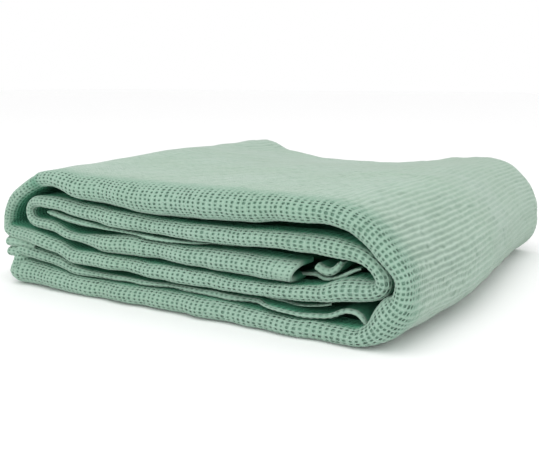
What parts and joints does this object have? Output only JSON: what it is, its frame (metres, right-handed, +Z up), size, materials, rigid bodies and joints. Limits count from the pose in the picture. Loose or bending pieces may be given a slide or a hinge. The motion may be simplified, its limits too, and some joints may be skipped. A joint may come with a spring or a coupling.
{
  "type": "bedspread",
  "caption": "Open-weave cotton bedspread folded into a flat, round-ended pack that rests on a shelf.",
  "frame": {"origin": "middle of the pack's box, on the surface that it rests on", "axes": "+Z up, +X along the open front edge towards the end where the outer turn closes the pack, -Y out of the open front"},
  "size_m": [0.481, 0.4592, 0.1213],
  "materials": {
    "cloth": "soft matt sage-green cotton in an open cellular weave"
  },
  "bodies": {
    "root": {"bedspread": "cloth"}
  },
  "joints": []
}
